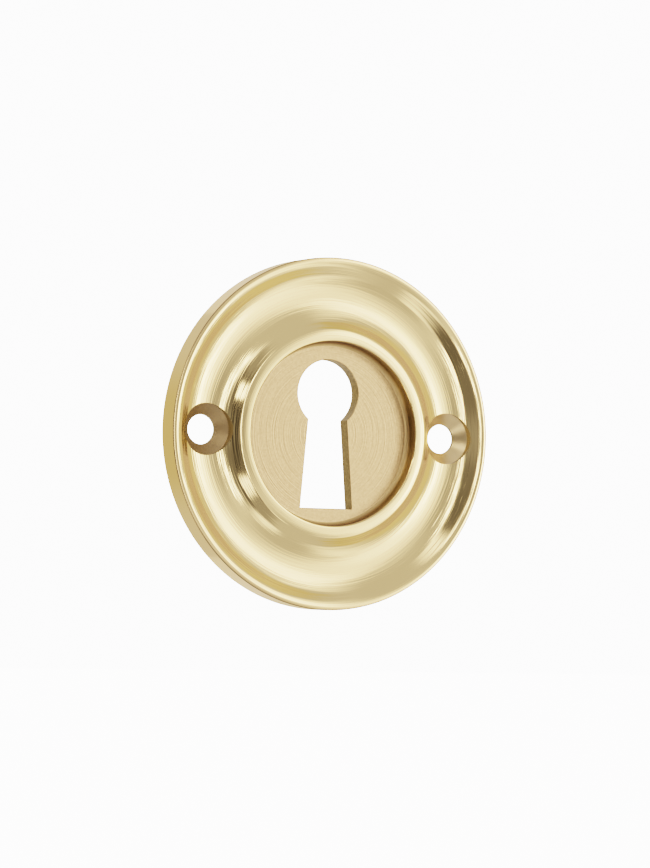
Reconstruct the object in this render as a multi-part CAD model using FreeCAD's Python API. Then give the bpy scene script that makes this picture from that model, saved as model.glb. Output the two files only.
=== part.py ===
# Round keyhole escutcheon, turned from one piece of brass.
# The back face lies in the plane Y = 0, the front faces -Y, and the round end of the keyhole is up (+Z).
import FreeCAD
import Part
import math
import os

Vector = FreeCAD.Vector

# Keyhole: a round eye over a slot that flares to a flat foot, centred on the plate
key_height = 21.1
key_eye_d = 9.6
key_neck_w = 6.1
key_foot_w = 8.2

# Flat floor round the keyhole, sunk inside the bead
floor_thickness = 2.0
floor_margin = 2.55
floor_round = 0.7

# Bead round the floor, with a domed crest that leans outwards
bead_w = 1.68
bead_inner_rise = 2.03
bead_outer_rise = 1.88
bead_dome_r = 4.05

# Cove between the bead and the rim: a round bottom, lowest halfway across, between two straight flanks
cove_thickness = 2.05
bead_flank_w = 1.2
bead_flank_angle = 38.7
rim_flank_w = 1.58
rim_flank_angle = 34.7
flank_round = 1.5

# Two screw holes, each a clearance hole under a cone and a straight-sided pocket
screw_hole_d = 4.2
screw_land = 0.5
pocket_d = 7.3
pocket_cone_angle = 100.0
pocket_to_bead = 0.74
pocket_to_rim = 1.21

# Rim: a narrow land that falls slightly outwards and rolls into the cove, and a straight edge with broken corners
rim_rise = 1.75
rim_land = 0.97
rim_land_fall = 0.03
rim_inner_round = 1.1
rim_edge_break = 0.12

# Radii and heights above the back face that follow from the sizes above
floor_r = key_height/2 + floor_margin
bead_r = floor_r + bead_w
pocket_r = pocket_d/2
screw_r = bead_r + pocket_to_bead + pocket_r
lip_r = screw_r + pocket_r + pocket_to_rim
plate_r = lip_r + rim_land
bead_inner_h = cove_thickness + bead_inner_rise
bead_outer_h = cove_thickness + bead_outer_rise
rim_h = cove_thickness + rim_rise
cove_r = (bead_r + lip_r)/2
tool_overrun = 5.0


def at(radius, height):
    """Point of the turned profile, at a radius and a height above the back face."""
    return Vector(radius, -height, 0)


def line(start, end):
    return Part.LineSegment(start, end).toShape()


def cove_arc(flank_foot):
    """Half of the cove's bottom: an arc that is level on its lowest line and climbs to the foot of a flank."""
    run = flank_foot.x - cove_r
    rise = -flank_foot.y - cove_thickness
    radius = (run**2 + rise**2)/(2*rise)
    half_angle = math.asin(run/radius)/2
    middle = at(cove_r + radius*math.sin(half_angle), cove_thickness + radius*(1 - math.cos(half_angle)))
    return Part.Arc(at(cove_r, cove_thickness), middle, flank_foot).toShape()


def crest_arc():
    """Domed crest of the bead, from its outer edge to its inner edge."""
    outer = at(bead_r, bead_outer_h)
    inner = at(floor_r, bead_inner_h)
    half_chord = (outer - inner)/2
    bulge = bead_dome_r - math.sqrt(bead_dome_r**2 - half_chord.Length**2)
    upwards = Vector(half_chord.y, -half_chord.x, 0).normalize()
    return Part.Arc(outer, inner + half_chord + upwards*bulge, inner).toShape()


def turned_profile(steps):
    """Closed profile. Each step is an edge and the radius that rounds the corner at its far end."""
    edges = [steps[0][0]]
    for (_, corner_round), (following, _) in zip(steps, steps[1:]):
        if corner_round:
            corner = Part.Wire([edges[-1], following])
            rounding = Part.ChFi2d.FilletAlgo(corner, Part.Plane())
            rounding.perform(corner_round)
            bend, edges[-1], following = rounding.result(corner.OrderedVertexes[1].Point)
            edges.append(bend)
        edges.append(following)
    return Part.Face(Part.Wire(Part.__sortEdges__(edges)))


def turned_blank():
    """The plate as it leaves the lathe, before the keyhole and the screw holes are cut."""
    back = at(plate_r - rim_edge_break, 0)
    side_low = at(plate_r, rim_edge_break)
    side_high = at(plate_r, rim_h - rim_land_fall - rim_edge_break)
    land = at(plate_r - rim_edge_break, rim_h - rim_land_fall)
    lip = at(lip_r, rim_h)
    rim_foot = at(lip_r - rim_flank_w, rim_h - rim_flank_w*math.tan(math.radians(rim_flank_angle)))
    bead_edge = at(bead_r, bead_outer_h)
    bead_foot = at(bead_r + bead_flank_w, bead_outer_h - bead_flank_w*math.tan(math.radians(bead_flank_angle)))
    profile = turned_profile([
        (line(at(0, 0), back), 0),
        (line(back, side_low), 0),
        (line(side_low, side_high), 0),
        (line(side_high, land), 0),
        (line(land, lip), rim_inner_round),
        (line(lip, rim_foot), flank_round),
        (cove_arc(rim_foot), 0),
        (cove_arc(bead_foot), flank_round),
        (line(bead_foot, bead_edge), 0),
        (crest_arc(), 0),
        (line(at(floor_r, bead_inner_h), at(floor_r, floor_thickness)), floor_round),
        (line(at(floor_r, floor_thickness), at(0, floor_thickness)), 0),
        (line(at(0, floor_thickness), at(0, 0)), 0),
    ])
    return profile.revolve(Vector(0, 0, 0), Vector(0, 1, 0), 360)


def keyhole():
    """Cutter with the keyhole's outline: the eye, and the slot whose sides run up into it."""
    eye_r = key_eye_d/2
    eye_z = key_height/2 - eye_r
    neck_x = key_neck_w/2
    neck_z = eye_z - math.sqrt(eye_r**2 - neck_x**2)
    foot_x = key_foot_w/2
    foot_z = -key_height/2
    neck_left = Vector(-neck_x, 0, neck_z)
    neck_right = Vector(neck_x, 0, neck_z)
    foot_left = Vector(-foot_x, 0, foot_z)
    foot_right = Vector(foot_x, 0, foot_z)
    outline = Part.Wire([
        Part.Arc(neck_left, Vector(0, 0, eye_z + eye_r), neck_right).toShape(),
        line(neck_right, foot_right),
        line(foot_right, foot_left),
        line(foot_left, neck_left),
    ])
    outline.translate(Vector(0, tool_overrun, 0))
    return Part.Face(outline).extrude(Vector(0, -(floor_thickness + 2*tool_overrun), 0))


def screw_pocket(x):
    """Cutter for one screw hole: clearance hole, cone and straight-sided pocket, on its own axis."""
    hole_r = screw_hole_d/2
    cone_h = (pocket_r - hole_r)/math.tan(math.radians(pocket_cone_angle/2))
    top_h = rim_h + tool_overrun
    outline = Part.makePolygon([
        at(0, -tool_overrun),
        at(hole_r, -tool_overrun),
        at(hole_r, screw_land),
        at(pocket_r, screw_land + cone_h),
        at(pocket_r, top_h),
        at(0, top_h),
        at(0, -tool_overrun),
    ])
    cutter = Part.Face(outline).revolve(Vector(0, 0, 0), Vector(0, 1, 0), 360)
    cutter.translate(Vector(x, 0, 0))
    return cutter


def escutcheon():
    plate = turned_blank().cut(keyhole())
    for x in (-screw_r, screw_r):
        plate = plate.cut(screw_pocket(x))
    return plate


os.makedirs("parts", exist_ok=True)
brass_plate = escutcheon()
brass_plate.exportStep("parts/escutcheon.step")
print("solids", len(brass_plate.Solids), "valid", brass_plate.isValid())
print("diameter", round(2*plate_r, 3), "screw spacing", round(2*screw_r, 3), "volume", round(brass_plate.Volume, 1))
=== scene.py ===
# %% [markdown]
# # A turned brass keyhole escutcheon
#
# An escutcheon is the small plate that trims a keyhole on a drawer or a cabinet door. This one is
# round, about 50 mm across, and it is a single piece of solid brass: a lathe cuts its rim, its
# hollow moulding and its raised bead, then the keyhole is pierced and two screw holes are drilled
# and countersunk.
#
# This lesson dresses that part in Blender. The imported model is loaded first. It is the fixed
# frame that everything else has to agree with, so nothing that it brings in is ever moved or
# reshaped.

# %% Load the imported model
import math

import bpy
from mathutils import Matrix, Vector


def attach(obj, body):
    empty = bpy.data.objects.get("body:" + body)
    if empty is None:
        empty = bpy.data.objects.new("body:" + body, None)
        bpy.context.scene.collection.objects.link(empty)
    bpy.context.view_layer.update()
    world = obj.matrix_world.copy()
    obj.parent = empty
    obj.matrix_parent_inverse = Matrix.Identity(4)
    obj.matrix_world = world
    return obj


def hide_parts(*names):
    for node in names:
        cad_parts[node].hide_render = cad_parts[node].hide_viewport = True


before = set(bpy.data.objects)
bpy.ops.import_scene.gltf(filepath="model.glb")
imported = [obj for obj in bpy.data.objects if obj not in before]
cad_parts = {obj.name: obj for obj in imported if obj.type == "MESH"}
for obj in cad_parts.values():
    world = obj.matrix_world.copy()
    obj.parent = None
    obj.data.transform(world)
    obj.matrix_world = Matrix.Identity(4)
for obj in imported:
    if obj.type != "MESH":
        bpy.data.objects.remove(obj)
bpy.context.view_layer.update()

mm = 0.001

# %% [markdown]
# ## The camera
#
# The photograph looks at the plate from its left and from slightly below, through a long lens:
# the rim's near edge is hardly larger than its far edge. A camera can be guessed by eye and then
# nudged, but a round plate gives better clues. Its circles show as ellipses, and the ellipses of
# the rim, the bead and the screw holes agree with only one viewing direction and one distance.
# Those are the numbers used here.
#
# The camera's three axes are worked out from the two angles, and a small roll then turns the
# picture.

# %% Camera
frame_height = 868
view_azimuth = math.radians(27.438)
view_elevation = math.radians(-2.333)
view_roll = math.radians(1.172)
view_distance = 559.6*mm
aim_right = -0.572*mm
aim_up = -0.046*mm
focal_pixels = 3930.4
sensor_size = 36.0

backward = Vector((-math.sin(view_azimuth)*math.cos(view_elevation),
                   -math.cos(view_azimuth)*math.cos(view_elevation),
                   math.sin(view_elevation)))
level_right = (-backward).cross(Vector((0, 0, 1))).normalized()
level_up = level_right.cross(-backward)
right = math.cos(view_roll)*level_right + math.sin(view_roll)*level_up
upward = math.cos(view_roll)*level_up - math.sin(view_roll)*level_right

camera_data = bpy.data.cameras.new("camera")
camera_data.sensor_width = sensor_size
camera_data.lens = focal_pixels*sensor_size/frame_height
camera_data.clip_start = 0.01
camera_data.clip_end = 20
camera = bpy.data.objects.new("camera", camera_data)
bpy.context.scene.collection.objects.link(camera)
camera_place = view_distance*backward - aim_right*right - aim_up*upward
camera_turn = Matrix((right, upward, backward)).transposed().to_4x4()
camera.matrix_world = Matrix.Translation(camera_place) @ camera_turn
bpy.context.scene.camera = camera
print("lens", round(camera_data.lens, 1), "mm")
print("camera in mm", [round(c/mm, 1) for c in camera_place])

# %% [markdown]
# ## Why the plate is modelled again
#
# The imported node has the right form, but it is made of loose flat triangles. Polished brass works
# like a mirror, and a mirror shows every flat. The plate is therefore modelled once more, finer
# and with smooth shading, from the same sizes. It also gets the hair-fine edge breaks that a real
# turned part has, because those are what catch the light along its edges.
#
# The sizes are in millimetres. A height is measured up from the back face, which lies in the
# plane Y = 0, and the front of the plate looks towards -Y. The last line holds two tolerances:
# points that are nearer to each other than the first are one point, and a point that is nearer to
# a circle than the second lies on it.

# %% Sizes of the plate
key_height, key_eye_d, key_neck_w, key_foot_w = 21.1, 9.6, 6.1, 8.2
floor_thickness, floor_r, floor_round = 2.0, 13.1, 0.7
bead_r, bead_inner_h, bead_outer_h, bead_dome_r = 14.78, 4.08, 3.93, 4.05
bead_flank_w, bead_flank_angle, rim_flank_w, rim_flank_angle = 1.2, 38.7, 1.58, 34.7
plate_r, lip_r, rim_h = 25.0, 24.03, 3.80
cove_thickness, cove_r = 2.05, (bead_r + lip_r)/2
screw_r, screw_hole_d, screw_land, pocket_d, pocket_cone_angle = 19.17, 4.2, 0.5, 7.3, 100.0
rim_edge_break, bead_outer_break, bead_inner_break = 0.12, 0.07, 0.18
keyhole_edge_break = 0.08
weld, on_line = 0.001, 0.005


def at(radius, height):
    """A point of the turned profile, in metres."""
    return Vector((radius*mm, -height*mm, 0))


def cove_centre(foot):
    """Centre of the arc that is level on the cove's lowest line and climbs to a flank's foot."""
    run, rise = foot.x/mm - cove_r, -foot.y/mm - cove_thickness
    return at(cove_r, cove_thickness + (run**2 + rise**2)/(2*rise))


def drop(width, angle):
    """How far a flank of some width falls at an angle in degrees."""
    return width*math.tan(math.radians(angle))


rim_foot = at(lip_r - rim_flank_w, rim_h - drop(rim_flank_w, rim_flank_angle))
bead_foot = at(bead_r + bead_flank_w, bead_outer_h - drop(bead_flank_w, bead_flank_angle))
for foot in (rim_foot, bead_foot):
    print("arc of the cove has its centre", round(-cove_centre(foot).y/mm, 2), "mm above the back")

# %% [markdown]
# ## The outline that the lathe follows
#
# A turned part is fully described by half of its cross-section. It could be drawn as a curve
# object, or typed in as a list of points. Here it is drawn as on paper, with one vertex that is
# extruded along each straight and spun round the centre of each arc, so every arc is a true arc
# and stays tangent to its neighbours.
#
# These are the few moves that it takes: open a piece for editing, start with one vertex, read
# where it is, draw a straight and draw an arc. An arc of the profile turns round the Z axis, and
# one of the keyhole, which is drawn on a plane behind the plate, turns round the Y axis. Each arc
# prints how far it ends from where it should.

# %% Helpers for drawing with a single vertex


def edit(piece):
    bpy.ops.object.select_all(action="DESELECT")
    bpy.context.view_layer.objects.active = piece
    piece.select_set(True)
    bpy.ops.object.mode_set(mode="EDIT")


def done():
    bpy.ops.object.mode_set(mode="OBJECT")


def start_point(name, place):
    """A new mesh object that is open in edit mode and holds one selected vertex."""
    bpy.ops.object.select_all(action="DESELECT")
    bpy.ops.mesh.primitive_plane_add(size=mm, location=(0, 0, 0))
    piece = bpy.context.object
    piece.name = piece.data.name = name
    bpy.ops.object.mode_set(mode="EDIT")
    bpy.ops.mesh.select_mode(type="VERT")
    bpy.ops.mesh.select_all(action="SELECT")
    bpy.ops.mesh.merge(type="CENTER")
    bpy.ops.transform.translate(value=place)
    return piece


def pen(piece):
    """Where the selected vertex is now."""
    piece.update_from_editmode()
    return next(v.co.copy() for v in piece.data.vertices if v.select)


def line_to(piece, place, steps=1):
    step = (place - pen(piece))/steps
    for _ in range(steps):
        bpy.ops.mesh.extrude_vertices_move(TRANSFORM_OT_translate={"value": step})


def arc_to(piece, centre, place, steps):
    """Spins the selected vertex round a centre until it reaches a place."""
    profile = abs(place.z) < weld*mm and abs(pen(piece).z) < weld*mm
    axis = Vector((0, 0, 1)) if profile else Vector((0, 1, 0))
    spoke, goal = pen(piece) - centre, place - centre
    turn = spoke.angle(goal)
    if spoke.cross(goal).dot(axis) < 0:
        turn = -turn
    bpy.ops.mesh.spin(steps=steps, angle=-turn, center=centre, axis=axis)
    miss = (pen(piece) - place).length/mm
    print("   arc of", round(math.degrees(turn), 1), "degrees ends", round(miss, 5), "mm off")


# %% [markdown]
# ## The rim's crest and the bead's crest
#
# The rim's crest is where the polishing wheel has worked most. The lines of light on it show how
# it tilts: it climbs out of the hollow ever more gently, tips over at a narrow ridge and falls
# away towards the edge. It is described by a few radii, the slope at each of them in degrees, and
# the number of steps in the arc that starts there. The arc itself follows from its two slopes.
# The work starts on the flank, so that the crest sits on it without a step.
#
# The bead's crest is a single arc through its two edges. Its centre lies below the middle of the
# chord between them, the way a draughtsman would find it with a compass.

# %% Work out the two crests
chord = at(floor_r, bead_inner_h) - at(bead_r, bead_outer_h)
sag = math.sqrt((bead_dome_r*mm)**2 - (chord.length/2)**2)
into_metal = Vector((-chord.y, chord.x, 0)).normalized()
crest_centre = at(bead_r, bead_outer_h) + chord/2 + into_metal*sag*(1 if into_metal.y > 0 else -1)

rim_crest = ((23.60, rim_flank_angle, 3), (23.80, 26, 3), (24.00, 19.5, 3), (24.16, 16.8, 5),
             (24.48, 10, 5), (24.56, -8, 3), (plate_r, -20, 0))
rim_arcs, height = [], rim_h - drop(lip_r - rim_crest[0][0], rim_flank_angle)
for (inner, slope, steps), (outer, next_slope, _) in zip(rim_crest, rim_crest[1:]):
    slope, next_slope = math.radians(slope), math.radians(next_slope)
    bend = (outer - inner)/(math.sin(slope) - math.sin(next_slope))
    centre = at(inner + bend*math.sin(slope), height - bend*math.cos(slope))
    rim_arcs.append((centre, at(inner, height), steps))
    height += bend*(math.cos(next_slope) - math.cos(slope))
rim_top_h = height
print("rim's crest has", len(rim_arcs), "arcs and ends", round(rim_top_h, 2), "mm above the back")

# %% [markdown]
# ## Drawing the outline
#
# The pen starts at the back of the rim, climbs the edge, crosses the crest, follows the hollow
# and the bead and ends on the floor. Next to a corner that will be broken the first step is
# short, so the shading turns close to the corner and not across the whole wall.

# %% Draw the outline
near_edge = 0.2
edge_steps, rim_flank_steps, outer_cove_steps, inner_cove_steps = 4, 6, 22, 26
bead_flank_steps, bead_crest_steps, bead_wall_steps, floor_corner_steps = 8, 7, 6, 8

plate = start_point("brass_escutcheon", at(plate_r, 0))
line_to(plate, at(plate_r, near_edge))
line_to(plate, at(plate_r, rim_top_h - near_edge), edge_steps)
line_to(plate, at(plate_r, rim_top_h))
for centre, place, steps in reversed(rim_arcs):
    arc_to(plate, centre, place, steps)
line_to(plate, rim_foot, rim_flank_steps)
arc_to(plate, cove_centre(rim_foot), at(cove_r, cove_thickness), outer_cove_steps)
arc_to(plate, cove_centre(bead_foot), bead_foot, inner_cove_steps)
line_to(plate, at(bead_r, bead_outer_h), bead_flank_steps)
arc_to(plate, crest_centre, at(floor_r, bead_inner_h), bead_crest_steps)
line_to(plate, at(floor_r, floor_thickness + floor_round), bead_wall_steps)
arc_to(plate, at(floor_r - floor_round, floor_thickness + floor_round),
       at(floor_r - floor_round, floor_thickness), floor_corner_steps)
done()
print("outline has", len(plate.data.vertices), "vertices")

# %% [markdown]
# ## From the outline to a turned blank
#
# Spinning the outline once round the plate's axis is what the lathe does, and it gives the whole
# blank in one step. The seam where the spin closes is merged. The flat back and the flat floor
# are each filled with a single face, because a flat face needs no cuts across it and the keyhole
# will be cut from it cleanly. A narrow ring is kept round each of them. Without it the smooth
# shading of the surface beside it would spread over the whole flat.
#
# No edge of a real turned part is perfectly sharp. The rim's two corners are broken with one
# narrow flat, as a file does it. The bead's two edges are rounded a little, as polishing does it.
# All four are a fifth of a millimetre wide or less, which is hardly a shape, but they draw the
# fine lines round rim and bead.

# %% Spin the outline into a blank
spin_steps = 288
floor_ring = 0.05


def select_edges(piece, wanted):
    """Selects the edges whose two ends pass a test. The mesh is open in edit mode."""
    bpy.ops.mesh.select_mode(type="EDGE")
    bpy.ops.mesh.select_all(action="DESELECT")
    bpy.ops.object.mode_set(mode="OBJECT")
    places = [v.co/mm for v in piece.data.vertices]
    for edge in piece.data.edges:
        edge.select = wanted(places[edge.vertices[0]], places[edge.vertices[1]])
    chosen = sum(edge.select for edge in piece.data.edges)
    bpy.ops.object.mode_set(mode="EDIT")
    return chosen


def on_circle(radius, height):
    """A test for edges that lie on one circle round the plate's axis."""
    def test(*ends):
        return all(abs(math.hypot(p.x, p.z) - radius) < on_line and abs(-p.y - height) < on_line
                   for p in ends)
    return test


edit(plate)
bpy.ops.mesh.select_all(action="SELECT")
bpy.ops.mesh.spin(steps=spin_steps, angle=2*math.pi, center=(0, 0, 0), axis=(0, 1, 0))
bpy.ops.mesh.select_all(action="SELECT")
bpy.ops.mesh.remove_doubles(threshold=weld*mm)
for radius, height, ring_width in ((plate_r, 0, near_edge),
                                   (floor_r - floor_round, floor_thickness, floor_ring)):
    print("ring of", select_edges(plate, on_circle(radius, height)), "edges is filled")
    bpy.ops.mesh.edge_face_add()
    bpy.ops.mesh.inset(thickness=ring_width*mm)
bpy.ops.mesh.select_all(action="SELECT")
bpy.ops.mesh.normals_make_consistent(inside=False)

for radius, height, width, segments in ((plate_r, 0, rim_edge_break, 1),
                                        (plate_r, rim_top_h, rim_edge_break, 1),
                                        (bead_r, bead_outer_h, bead_outer_break, 3),
                                        (floor_r, bead_inner_h, bead_inner_break, 4)):
    chosen = select_edges(plate, on_circle(radius, height))
    bpy.ops.mesh.bevel(offset=width*mm, offset_type="OFFSET", segments=segments, affect="EDGES")
    print("broke an edge of", chosen, "pieces at radius", round(radius, 2))
done()
print("blank has", len(plate.data.polygons), "faces")

# %% [markdown]
# ## The keyhole
#
# The keyhole is a round eye for the key's barrel over a slot that widens towards its foot. It
# could be drawn into the floor face by hand, but the cut goes through the metal, so a solid of
# the same outline is made and subtracted. Its outline is drawn with the same moving vertex, then
# filled and extruded.

# %% Cutter for the keyhole
eye_r = key_eye_d/2
eye_h = key_height/2 - eye_r
neck_h = eye_h - math.sqrt(eye_r**2 - (key_neck_w/2)**2)
below_plate, above_plate = 2.0, 8.0
eye_steps, drill_steps = 32, 96


def beside(x, z):
    """A point on a plane just behind the plate, where the cutters start."""
    return Vector((x*mm, below_plate*mm, z*mm))


keyhole = start_point("keyhole_cutter", beside(key_neck_w/2, neck_h))
arc_to(keyhole, beside(0, eye_h), beside(0, eye_h + eye_r), eye_steps)
arc_to(keyhole, beside(0, eye_h), beside(-key_neck_w/2, neck_h), eye_steps)
line_to(keyhole, beside(-key_foot_w/2, -key_height/2))
line_to(keyhole, beside(key_foot_w/2, -key_height/2))
bpy.ops.mesh.select_all(action="SELECT")
bpy.ops.mesh.edge_face_add()
bpy.ops.mesh.extrude_region_move(TRANSFORM_OT_translate={"value": (0, -above_plate*mm, 0)})
bpy.ops.mesh.select_all(action="SELECT")
bpy.ops.mesh.normals_make_consistent(inside=False)
done()
print("keyhole cutter", [round(d/mm, 2) for d in keyhole.dimensions], "mm")

# %% [markdown]
# ## The screw holes
#
# Each screw hole is a clearance hole with a cone for the screw's head. The countersink is driven
# in deeper than its cone, so its flank leaves a short straight-sided pocket that bites into the
# bead's flank and the rim's. The cutter is one more spun outline, the shape of the tool itself.
# It is modelled once and copied.

# %% Cutter for a screw hole
hole_r, pocket_r = screw_hole_d/2, pocket_d/2
cone_top = screw_land + (pocket_r - hole_r)/math.tan(math.radians(pocket_cone_angle/2))

drill = start_point("screw_hole_cutter", at(0, -below_plate))
for place in (at(hole_r, -below_plate), at(hole_r, screw_land), at(pocket_r, cone_top),
              at(pocket_r, above_plate), at(0, above_plate)):
    line_to(drill, place)
bpy.ops.mesh.select_all(action="SELECT")
bpy.ops.mesh.spin(steps=drill_steps, angle=2*math.pi, center=(0, 0, 0), axis=(0, 1, 0))
bpy.ops.mesh.select_all(action="SELECT")
bpy.ops.mesh.remove_doubles(threshold=weld*mm)
bpy.ops.mesh.normals_make_consistent(inside=False)
bpy.ops.transform.translate(value=(screw_r*mm, 0, 0))
done()
left_drill = drill.copy()
left_drill.data = drill.data.copy()
bpy.context.scene.collection.objects.link(left_drill)
edit(left_drill)
bpy.ops.mesh.select_all(action="SELECT")
bpy.ops.transform.translate(value=(-2*screw_r*mm, 0, 0))
done()
print("screw hole cutter", [round(d/mm, 2) for d in drill.dimensions], "mm")

# %% [markdown]
# ## Cutting
#
# A boolean subtracts each cutter from the blank. The fast solver can leave slivers where a curved
# pocket runs through a curved flank, so the exact one is used. Each boolean is applied at once,
# because the keyhole's new edge is worked on next, and the cutters have then done their work and
# are thrown away.

# %% Cut the keyhole and the screw holes
for cutter in (keyhole, drill, left_drill):
    bpy.context.view_layer.objects.active = plate
    cut = plate.modifiers.new("cut", "BOOLEAN")
    cut.object, cut.operation, cut.solver = cutter, "DIFFERENCE", "EXACT"
    bpy.ops.object.modifier_apply(modifier=cut.name)
    bpy.data.objects.remove(cutter)
print("cut plate has", len(plate.data.polygons), "faces")

# %% [markdown]
# ## The keyhole's edge
#
# A keyhole is pierced, and a file then takes off the burr at the front. That leaves one narrow
# flat along the edge, which shows as a light line beside the dark wall. The edges are picked by
# where they lie: in the floor's plane, and inside the ring that the facing tool left.

# %% Break the keyhole's front edge
def keyhole_front(*ends):
    """A test for the keyhole's front edges, which lie in the floor's plane inside the ring."""
    return all(abs(-p.y - floor_thickness) < weld and
               math.hypot(p.x, p.z) < floor_r - floor_round - 2*floor_ring for p in ends)


edit(plate)
chosen = select_edges(plate, keyhole_front)
bpy.ops.mesh.bevel(offset=keyhole_edge_break*mm, offset_type="OFFSET", segments=1, affect="EDGES")
done()
print("broke", chosen, "edges, and the plate has", len(plate.data.polygons), "faces")

# %% [markdown]
# ## Smooth surfaces and sharp edges
#
# The steps of the spin must not show in polished metal, but the pocket's mouth and the keyhole
# have to stay crisp. Smoothing by angle does both: where two faces meet at less than 30 degrees
# the shading flows, and elsewhere it breaks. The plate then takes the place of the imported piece
# and rides on its body.

# %% Smooth the shading between true edges
edit(plate)
bpy.ops.mesh.select_all(action="DESELECT")
done()
bpy.ops.object.shade_smooth_by_angle(angle=math.radians(30))
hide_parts("escutcheon")
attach(plate, "root")
print("plate in mm", [round(d/mm, 3) for d in plate.dimensions])

# %% [markdown]
# ## Building with nodes
#
# The finishes and the studio are both made of shader nodes, which are small steps of arithmetic
# that are wired together. They could be placed and wired by hand. Here one line adds a node, sets
# its options and fills its inputs, so a chain of them reads from top to bottom. An input takes
# either a plain value or what another node gives out.

# %% A helper for nodes


def add_node(tree, kind, inputs, **options):
    """Adds a shader node. Each input gets a plain value or another node's output."""
    node = tree.nodes.new(kind)
    for option, value in options.items():
        setattr(node, option, value)
    for socket, value in inputs.items():
        if isinstance(value, bpy.types.NodeSocket):
            tree.links.new(value, node.inputs[socket])
        else:
            node.inputs[socket].default_value = value
    return node


# %% [markdown]
# ## Brass and its tool marks
#
# The plate is bare brass without lacquer. What tells its surfaces apart is how each one was made,
# and so every finish is the same recipe with other numbers.
#
# Turning and drilling leave fine rings round the tool's axis. They stretch highlights across the
# rings, and that is done with anisotropy along a tangent that runs round the axis. Single rings
# are seen too, and they come from a noise in four dimensions. Its fourth coordinate is the
# radius, which changes fast, and the other three are the place, which change slowly. A ring is
# therefore thin and long, but it does fade out somewhere, as real ones do. A picture of rings
# would blur close by and would show a seam.
#
# Sawn and pierced surfaces hold a little dirt, which is a fine speckle in the colour.

# %% Recipe for a brass finish
ring_fading = 110
speckle_size, speckle_detail, speckle_roughness = 2400, 5, 0.7
cleanest, dirtiest = 0.65, 0.35


def brass(name, colour, roughness, anisotropy, centre_x=0.0, mark_depth=0.0, mark_width=0.2,
          dirt=0.0):
    """Brass with tool marks that run round an axis at centre_x. Marks are in millimetres."""
    material = bpy.data.materials.new(name)
    material.use_nodes = True
    tree = material.node_tree
    shader = tree.nodes["Principled BSDF"]
    shader.inputs["Metallic"].default_value = 1.0
    shader.inputs["Anisotropic"].default_value = anisotropy
    shader.inputs["Base Color"].default_value = (*colour, 1)
    shader.inputs["Roughness"].default_value = roughness
    place = add_node(tree, "ShaderNodeTexCoord", {}).outputs["Object"]

    centred = add_node(tree, "ShaderNodeVectorMath", {0: place, 1: (centre_x*mm, 0, 0)},
                       operation="SUBTRACT").outputs[0]
    around = add_node(tree, "ShaderNodeVectorMath", {0: (0, 1, 0), 1: centred},
                      operation="CROSS_PRODUCT").outputs[0]
    along_ring = add_node(tree, "ShaderNodeVectorMath", {0: around}, operation="NORMALIZE")
    tree.links.new(along_ring.outputs[0], shader.inputs["Tangent"])

    radius = add_node(tree, "ShaderNodeVectorMath", {0: around},
                      operation="LENGTH").outputs["Value"]
    slow = add_node(tree, "ShaderNodeVectorMath", {0: place, "Scale": ring_fading},
                    operation="SCALE").outputs[0]
    fast = add_node(tree, "ShaderNodeMath", {0: radius, 1: 1/(mark_width*mm)},
                    operation="MULTIPLY").outputs[0]
    marks = add_node(tree, "ShaderNodeTexNoise", {"Scale": 1, "Detail": 2}, noise_dimensions="4D")
    tree.links.new(slow, marks.inputs["Vector"])
    tree.links.new(fast, marks.inputs["W"])
    bump = add_node(tree, "ShaderNodeBump", {"Height": marks.outputs[0], "Distance": mark_depth*mm,
                                             "Strength": 1})
    tree.links.new(bump.outputs[0], shader.inputs["Normal"])

    if dirt:
        spots = add_node(tree, "ShaderNodeTexNoise", {"Vector": place, "Scale": speckle_size,
                                                      "Detail": speckle_detail,
                                                      "Roughness": speckle_roughness})
        spread = add_node(tree, "ShaderNodeMapRange", {"Value": spots.outputs[0],
                                                       "From Min": dirtiest, "From Max": cleanest})
        blend = add_node(tree, "ShaderNodeMix", {"A": (*(c*(1 - dirt) for c in colour), 1),
                                                 "B": (*(min(c*(1 + dirt), 1) for c in colour), 1),
                                                 "Factor": spread.outputs["Result"]},
                         data_type="RGBA")
        tree.links.new(blend.outputs["Result"], shader.inputs["Base Color"])
    return material


# %% [markdown]
# ## The finishes
#
# Turned brass is polished and has the full colour of the metal. The floor was only faced with a
# broad tool, so it is matt. Rough metal also throws light back and forth in its scratches, which
# makes it look darker, and for that reason the other colours are lower. The two countersinks are
# lit and shaded copies of one drilled finish, because the right one catches the light and the left
# one lies in the shade of its own edge. The right one's brighter colour is painted light, and the
# left one's darker colour is painted shade. The left one also has coarser marks.
#
# The walls of the holes, the corner round the floor and the rim's two broken corners were never
# polished, so they stay duller. Their darker and browner colours are partly painted shade, and
# that is what outlines the floor and the rim.

# %% Finishes on the plate
finishes = [
    brass("turned_brass", (0.92, 0.710, 0.366), 0.09, 0.6, mark_depth=0.03),
    brass("faced_brass", (0.62, 0.452, 0.255), 0.38, 0.3, mark_depth=0.035, dirt=0.1),
    # A lit and a shaded copy of one drilled finish: painted light in the right countersink's
    # colour, painted shade in the left one's.
    brass("drilled_brass_right_painted_light", (0.90, 0.70, 0.41), 0.30, 0.6, centre_x=screw_r,
          mark_depth=0.006),
    brass("drilled_brass_left_painted_shade", (0.50, 0.38, 0.225), 0.48, 0.4, centre_x=-screw_r,
          mark_depth=0.03),
    # Walls and corners: duller unpolished metal, whose darker colours are partly painted shade that
    # outlines the floor and the rim.
    brass("cut_brass", (0.42, 0.345, 0.215), 0.45, 0.0, dirt=0.25),
    brass("bored_brass", (0.42, 0.35, 0.21), 0.32, 0.3, mark_depth=0.03),
    brass("pocket_brass", (0.48, 0.41, 0.25), 0.45, 0.0),
    brass("corner_brass", (0.50, 0.36, 0.185), 0.45, 0.0),
    brass("edge_brass", (0.40, 0.29, 0.155), 0.30, 0.0),
    brass("land_brass", (0.89, 0.665, 0.35), 0.12, 0.6),
]
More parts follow.
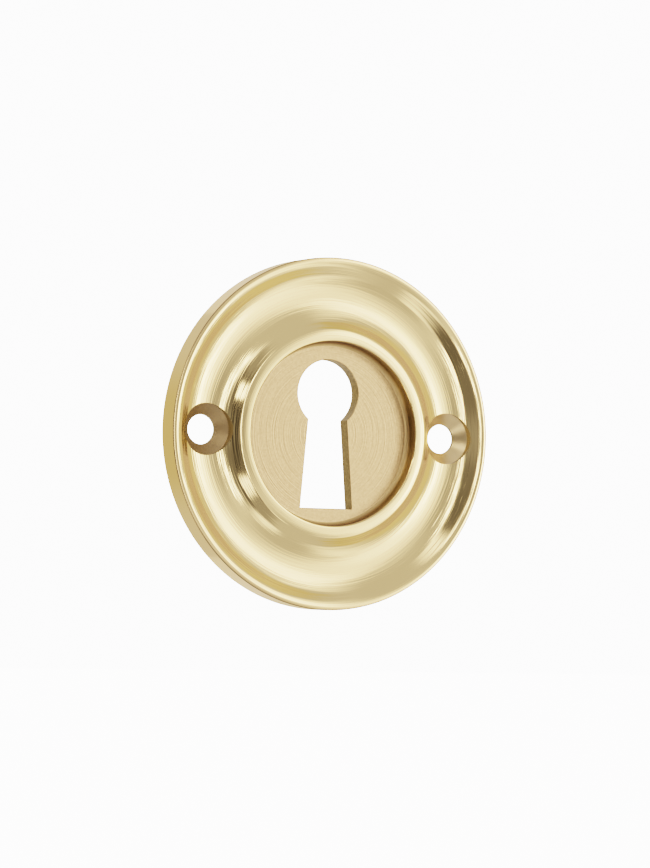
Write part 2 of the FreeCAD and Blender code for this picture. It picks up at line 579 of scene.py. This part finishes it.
for finish in finishes:
    plate.data.materials.append(finish)
(TURNED, FACED, DRILLED_RIGHT_PAINTED_LIGHT, DRILLED_LEFT_PAINTED_SHADE, CUT, BORED,
 POCKET, CORNER, EDGE, LAND) = range(len(finishes))
print("finishes", [finish.name for finish in finishes])

# %% [markdown]
# ## Which face has which finish
#
# Faces could be picked one by one, but the plate is so regular that the place and the direction
# of a face say how it was made. The screw holes come first, because they were cut through
# everything else. A face counts as upright when it stands square to the back, and its middle may
# lie a hair off the surface that it belongs to, because a curve is made of flats.

# %% Give each face its finish
hair, upright_limit = 0.01, 0.05
break_slopes = 0.3, 0.9
corner_top = floor_thickness + 0.45
ridge_r = 24.5


def finish_at(place, normal):
    """Which finish a face has, from its middle in millimetres and its normal."""
    radius, height, upright = math.hypot(place.x, place.z), -place.y, abs(normal.y) < upright_limit
    for x, drilled in ((screw_r, DRILLED_RIGHT_PAINTED_LIGHT), (-screw_r, DRILLED_LEFT_PAINTED_SHADE)):
        away = math.hypot(place.x - x, place.z)
        if away < pocket_r + hair and upright:
            return POCKET
        if away < pocket_r - 2*hair:
            return drilled
    if radius < floor_r - floor_round + hair:
        return CUT if upright else FACED if height > hair else TURNED
    if radius < floor_r + hair and height < bead_inner_h - bead_inner_break - 2*hair:
        if height > corner_top:
            return BORED
        return CORNER if height > floor_thickness + 2*hair else FACED
    if radius > plate_r - rim_edge_break and break_slopes[0] < abs(normal.y) < break_slopes[1]:
        return EDGE
    if radius > ridge_r and height > rim_top_h:
        return LAND
    return TURNED


counts = [0]*len(finishes)
for face in plate.data.polygons:
    face.material_index = finish_at(face.center/mm, face.normal)
    counts[face.material_index] += 1
print("faces by finish", counts)

# %% [markdown]
# ## The studio
#
# Polished brass has hardly a look of its own. It shows what stands round it, squeezed and bent,
# so lighting this plate means building the room that it mirrors. Lamps and white boards could be
# set up as objects. It is easier to lay them as soft panels on the surroundings, because then
# each one is a plain statement of where it stands and how bright it is.
#
# Directions are in degrees. Azimuth counts from straight in front of the plate, to the right, and
# elevation counts upwards. Every place on the turned form tilts by a known angle, so it mirrors a
# known direction. The bright and dark bars on the rim and the bead tell in that way where the
# panels have to be.

# %% Directions in the surroundings
world = bpy.data.worlds.new("studio")
bpy.context.scene.world = world
world.use_nodes = True
sky = world.node_tree
sky.nodes.clear()


def sky_math(operation, *values):
    """One step of arithmetic in the surroundings."""
    return add_node(sky, "ShaderNodeMath", dict(enumerate(values)), operation=operation).outputs[0]


def fade(value, start, end):
    """0 before the start, 1 after the end and a soft step between."""
    return add_node(sky, "ShaderNodeMapRange", {"Value": value, "From Min": start, "From Max": end},
                    interpolation_type="SMOOTHSTEP").outputs["Result"]


looking = add_node(sky, "ShaderNodeTexCoord", {}).outputs["Generated"]
rightward, backward_share, skyward = add_node(sky, "ShaderNodeSeparateXYZ", {0: looking}).outputs
forward_share = sky_math("MULTIPLY", backward_share, -1.0)
sky_azimuth = sky_math("MULTIPLY", sky_math("ARCTAN2", rightward, forward_share), 180/math.pi)
sky_elevation = sky_math("MULTIPLY", sky_math("ARCSINE", skyward), 180/math.pi)
print("directions take", len(sky.nodes), "nodes")

# %% [markdown]
# ## Panels
#
# The room is grey to begin with. Each panel is laid over what is already there, so a later one
# covers an earlier one where they cross. Soft edges matter as much as brightness, because they
# turn into the gradual tones of the hollow. Most of the light comes from a broad window to the
# right of the camera, with its brightest part straight across from the bead's left flank. The
# left side holds dark boards, which make the dark bar on the rim, with thin bright gaps between
# them. A dark patch behind the plate, on the right, is mirrored mostly by the bead's rounded inner
# edge. It draws the thin line between bead and floor.
#
# A panel's numbers are its two azimuths, its two elevations and the softness of its sides and of
# its ends, all in degrees. A disc's are its middle, its half width and half height, and a
# softness that is a share of its radius. The number after each of them is its brightness.

# %% Panels and discs


def band(value, low, high, softness):
    """1 between two values and 0 outside them, with soft edges."""
    return sky_math("MULTIPLY", fade(value, low - softness/2, low + softness/2),
                    fade(value, high + softness/2, high - softness/2))


def panel(west, east, low, high, soft_side, soft_end):
    """Mask of a rectangular panel."""
    return sky_math("MULTIPLY", band(sky_azimuth, west, east, soft_side),
                    band(sky_elevation, low, high, soft_end))


def disc(azimuth, elevation, half_width, half_height, softness):
    """Mask of a round or oval panel."""
    across = sky_math("DIVIDE", sky_math("SUBTRACT", sky_azimuth, azimuth), half_width)
    up = sky_math("DIVIDE", sky_math("SUBTRACT", sky_elevation, elevation), half_height)
    away = sky_math("SQRT", sky_math("ADD", sky_math("MULTIPLY", across, across),
                                     sky_math("MULTIPLY", up, up)))
    return fade(away, 1 + softness/2, 1 - softness/2)


def lay(below, inside, brightness):
    """What is below, with another brightness laid over it where a mask is 1."""
    change = sky_math("SUBTRACT", brightness, below)
    return sky_math("ADD", below, sky_math("MULTIPLY", inside, change))


# %% Lay the panels
panels = [
    (disc(31, -16, 39, 39, 0.5), 1.04),
    (disc(39, 1, 12, 35, 1.6), 2.3),
    (disc(49, 0, 6, 13, 1.4), 5.4),
    (disc(40, 14, 12, 7, 1.4), 3.1),
    (disc(37, 21, 9, 7, 1.2), 2.9),
    (disc(28, -25, 11, 5, 1.2), 1.04),
    (disc(65, -6, 10, 50, 0.8), 0.8),
    (panel(70, 200, -50, 50, 10, 20), 0.85),
    (panel(110, 146, -42, 42, 5, 20), 0.12),
    (disc(7, 4, 9, 14, 1.1), 0.44),
    (disc(13, -37, 16, 20, 1.0), 0.62),
    (panel(-66, -22, -70, 59, 14, 16), 0.36),
    (disc(-6, -43, 9, 11, 1.0), 1.8),
    (disc(-22, 36, 9, 16, 1.2), 2.4),
    (panel(-54, -21, -40, 40, 8, 6), 0.20),
    (disc(-38, 2, 9, 9, 1.2), 0.34),
    (disc(-36, 32, 4, 11, 0.8), 0.17),
    (disc(-29, -34, 9, 10, 0.8), 0.16),
    (panel(-78, -47, 23, 34, 6, 3), 4.7),
    (panel(-78, -42, -44, -29, 6, 5), 2.8),
    (panel(-78, -50, -27, 22, 3, 3), 0.08),
    (panel(-13, -8, -23, 33, 4, 8), 6.0),
]
glow = 0.65
for inside, brightness in panels:
    glow = lay(glow, inside, brightness)
print(len(panels), "panels, and the surroundings now take", len(sky.nodes), "nodes")

# %% [markdown]
# ## Light that has bounced twice
#
# The hollow is a ring of mirrors that face each other. Real lights are near and the real flanks
# are not quite true, so their second reflections melt together. Panels that are laid on the
# surroundings are as good as endlessly far away, and their second reflections would be drawn as
# sharp yellow sickles. Light that has already met the plate twice therefore finds one even tone
# in front and to the right. The depth of a ray counts its legs, and the third leg is the first
# that comes after two meetings. The dark boards on the left stay, since the wall round the floor
# owes its brown to them.

# %% Even out the second bounce
even_tone = 0.72
seen = add_node(sky, "ShaderNodeLightPath", {}).outputs
bounced_twice = sky_math("MULTIPLY", fade(seen["Ray Depth"], 2.2, 2.8), fade(sky_azimuth, -10, 5))
glow = lay(glow, bounced_twice, even_tone)
print("light that met the plate twice finds a tone of", even_tone)

# %% [markdown]
# ## The colour of the light
#
# Daylight is nearly white where it is strong, and the dim parts of the room are a little warmer.
# Beside and behind the plate there is no window but only what the plate lies near, and light from
# there has been thrown back by brass and wood. It is golden, and it colours the edge of the rim.
# Higher up and lower down behind the plate the room takes over again, and the gold gets paler.

# %% Colour the light
daylight, dim_light = (1.0, 0.975, 1.0), (1.0, 0.895, 0.785)
golden, pale_gold, after_two_bounces = (1.0, 0.82, 0.54), (1.15, 1.0, 0.84), (1.0, 0.97, 1.40)


def tint(colour, share, other):
    """Mixes the light's colour, by a share, with another colour."""
    return add_node(sky, "ShaderNodeMix", {"A": colour, "B": (*other, 1), "Factor": share},
                    data_type="RGBA").outputs["Result"]


near_plate = sky_math("MAXIMUM", fade(sky_azimuth, -95, -115), fade(sky_azimuth, 57, 68))
behind_and_steep = sky_math("MULTIPLY", fade(sky_math("ABSOLUTE", sky_azimuth), 120, 140),
                            fade(sky_math("ABSOLUTE", sky_elevation), 9, 24))
light_colour = (*daylight, 1)
for share, other in ((fade(glow, -0.6, 1.9), dim_light), (near_plate, golden),
                     (behind_and_steep, pale_gold), (bounced_twice, after_two_bounces)):
    light_colour = tint(light_colour, share, other)
print("with its colours the studio takes", len(sky.nodes), "nodes")

# %% [markdown]
# ## Backdrop
#
# The photograph has a white backdrop. The camera is shown plain white, and all other light comes
# from the panels. The white is no brighter than it needs to be, because an extremely bright
# backdrop eats into the outline of the plate and leaves it jagged.

# %% Backdrop
white = 6

lighting = add_node(sky, "ShaderNodeBackground", {"Color": light_colour, "Strength": glow})
backdrop = add_node(sky, "ShaderNodeBackground", {"Color": (1, 1, 1, 1), "Strength": white})
chosen_by_ray = add_node(sky, "ShaderNodeMixShader", {0: seen["Is Camera Ray"],
                                                      1: lighting.outputs[0],
                                                      2: backdrop.outputs[0]})
add_node(sky, "ShaderNodeOutputWorld", {"Surface": chosen_by_ray.outputs[0]})
print("backdrop has a strength of", white)

# %% [markdown]
# ## Floor
#
# The plate stands free above a pale floor, which is only seen from above or from behind. Near the
# plate it is plain paint, and further away it glows more and more, until it is as white as the
# backdrop and the horizon is gone. Reflections leave it out, because the panels already stand for
# it there.
#
# The two view settings choose how brightness turns into tones on the picture. A film-like curve
# keeps the brightest bars from burning out, and its high contrast gives polished metal its depth.

# %% Floor and tones
floor_drop, paint_ends, white_starts = 0.1, 0.1, 0.45

bpy.ops.object.select_all(action="DESELECT")
bpy.ops.mesh.primitive_plane_add(size=6, location=(0, 0, -floor_drop))
ground = bpy.context.object
ground.name = ground.data.name = "floor"
ground.visible_glossy = False
ground_paint = bpy.data.materials.new("pale_floor")
ground_paint.use_nodes = True
ground.data.materials.append(ground_paint)

paint_tree = ground_paint.node_tree
paint = paint_tree.nodes["Principled BSDF"]
paint.inputs["Base Color"].default_value = (0.85, 0.85, 0.84, 1)
paint.inputs["Roughness"].default_value = 0.9
paint.inputs["Emission Color"].default_value = (1, 1, 1, 1)
floor_place = add_node(paint_tree, "ShaderNodeTexCoord", {}).outputs["Object"]
from_plate = add_node(paint_tree, "ShaderNodeVectorMath", {0: floor_place},
                      operation="LENGTH").outputs["Value"]
whitening = add_node(paint_tree, "ShaderNodeMapRange", {"Value": from_plate, "From Min": paint_ends,
                                                        "From Max": white_starts, "To Max": white},
                     interpolation_type="SMOOTHSTEP")
paint_tree.links.new(whitening.outputs["Result"], paint.inputs["Emission Strength"])

bpy.context.scene.view_settings.view_transform = "Filmic"
bpy.context.scene.view_settings.look = "High Contrast"
print("floor is", round(floor_drop/mm), "mm below the plate's centre")
